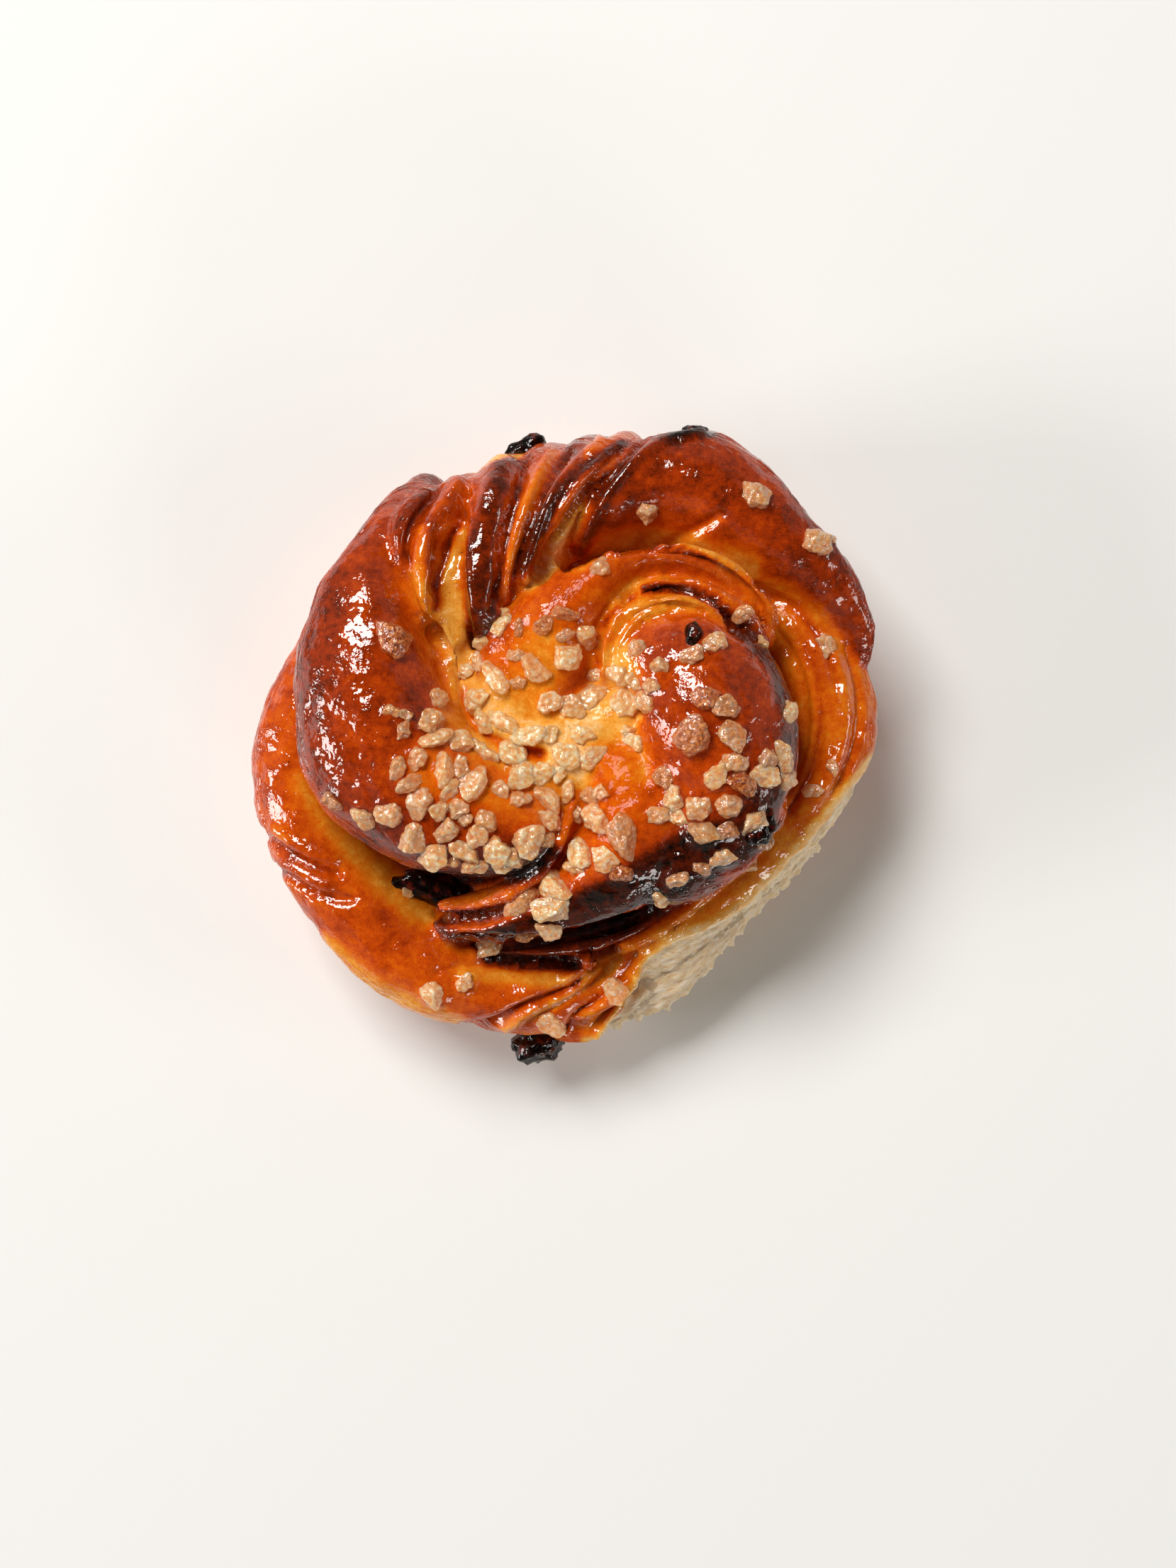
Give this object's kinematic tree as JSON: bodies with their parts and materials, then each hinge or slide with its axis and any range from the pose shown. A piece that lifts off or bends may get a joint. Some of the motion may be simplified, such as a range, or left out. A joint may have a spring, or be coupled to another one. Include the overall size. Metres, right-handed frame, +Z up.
{
  "type": "cinnamon bun",
  "caption": "Round knotted cinnamon bun: a twisted strip of glazed dough coiled over itself, with pleats, a swirl and pearl sugar on top.",
  "frame": {"origin": "middle of the bounding box, on the flat base", "axes": "+Z up, +Y towards the pleated side of the top, which is the long way across, +X towards the torn side"},
  "size_m": [0.1034, 0.1062, 0.0512],
  "materials": {
    "crust": "glazed, red-brown on the crowns and amber in the folds",
    "pearl_sugar": "translucent off-white grains under glaze",
    "burnt_filling": "glossy near-black beads of boiled-out filling",
    "crumb": "pale torn crumb"
  },
  "bodies": {
    "root": {"bun": "crust"}
  },
  "joints": []
}
